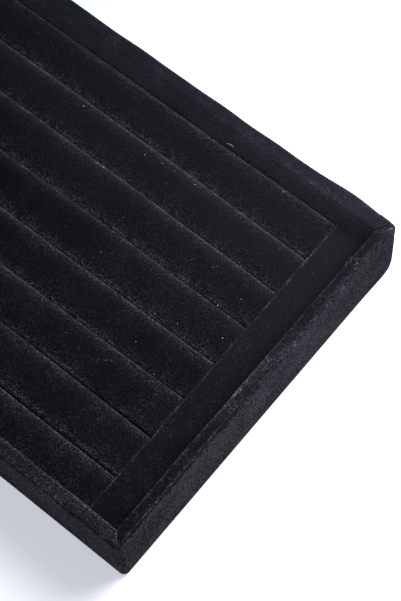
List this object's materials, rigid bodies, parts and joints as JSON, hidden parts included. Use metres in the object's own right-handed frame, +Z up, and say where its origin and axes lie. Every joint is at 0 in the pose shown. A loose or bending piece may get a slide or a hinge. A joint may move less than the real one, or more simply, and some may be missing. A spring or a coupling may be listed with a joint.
{
  "type": "jewelry tray",
  "caption": "Shallow velvet-wrapped tray with a lift-out insert of long padded rolls lying side by side, with slots between them that hold rings.",
  "frame": {"origin": "centre of the tray's underside, on the surface that it stands on", "axes": "+X along the rolls, +Y across the rolls, +Z up"},
  "size_m": [0.3, 0.2, 0.043],
  "materials": {
    "black_velvet": "short pile velvet",
    "foam": "open-cell foam",
    "fibreboard": "matte",
    "hardboard": "matte",
    "greyboard": "matte",
    "flocked_sheet": "flocked",
    "brad_steel": "satin"
  },
  "bodies": {
    "tray": {"base_sheet": "flocked_sheet", "base_board": "hardboard", "floor_lining": "black_velvet", "corner_brads": "brad_steel", "base_brads": "brad_steel", "wall_board_front": "fibreboard", "wall_board_back": "fibreboard", "wall_board_left": "fibreboard", "wall_board_right": "fibreboard", "velvet_wrap_front": "black_velvet", "velvet_wrap_back": "black_velvet", "velvet_wrap_left": "black_velvet", "velvet_wrap_right": "black_velvet"},
    "ring_insert": {"insert_board": "greyboard", "roll_core_1": "foam", "roll_cover_1": "black_velvet", "roll_core_2": "foam", "roll_cover_2": "black_velvet", "roll_core_3": "foam", "roll_cover_3": "black_velvet", "roll_core_4": "foam", "roll_cover_4": "black_velvet", "roll_core_5": "foam", "roll_cover_5": "black_velvet", "roll_core_6": "foam", "roll_cover_6": "black_velvet", "roll_core_7": "foam", "roll_cover_7": "black_velvet", "roll_core_8": "foam", "roll_cover_8": "black_velvet", "end_bar_core_left": "foam", "end_bar_cover_left": "black_velvet", "end_bar_core_right": "foam", "end_bar_cover_right": "black_velvet"}
  },
  "joints": [
    {"name": "insert_lift", "type": "slide", "parent": "tray", "child": "ring_insert", "axis": [0, 0, 1], "range_m": [0, 0.043]}
  ]
}
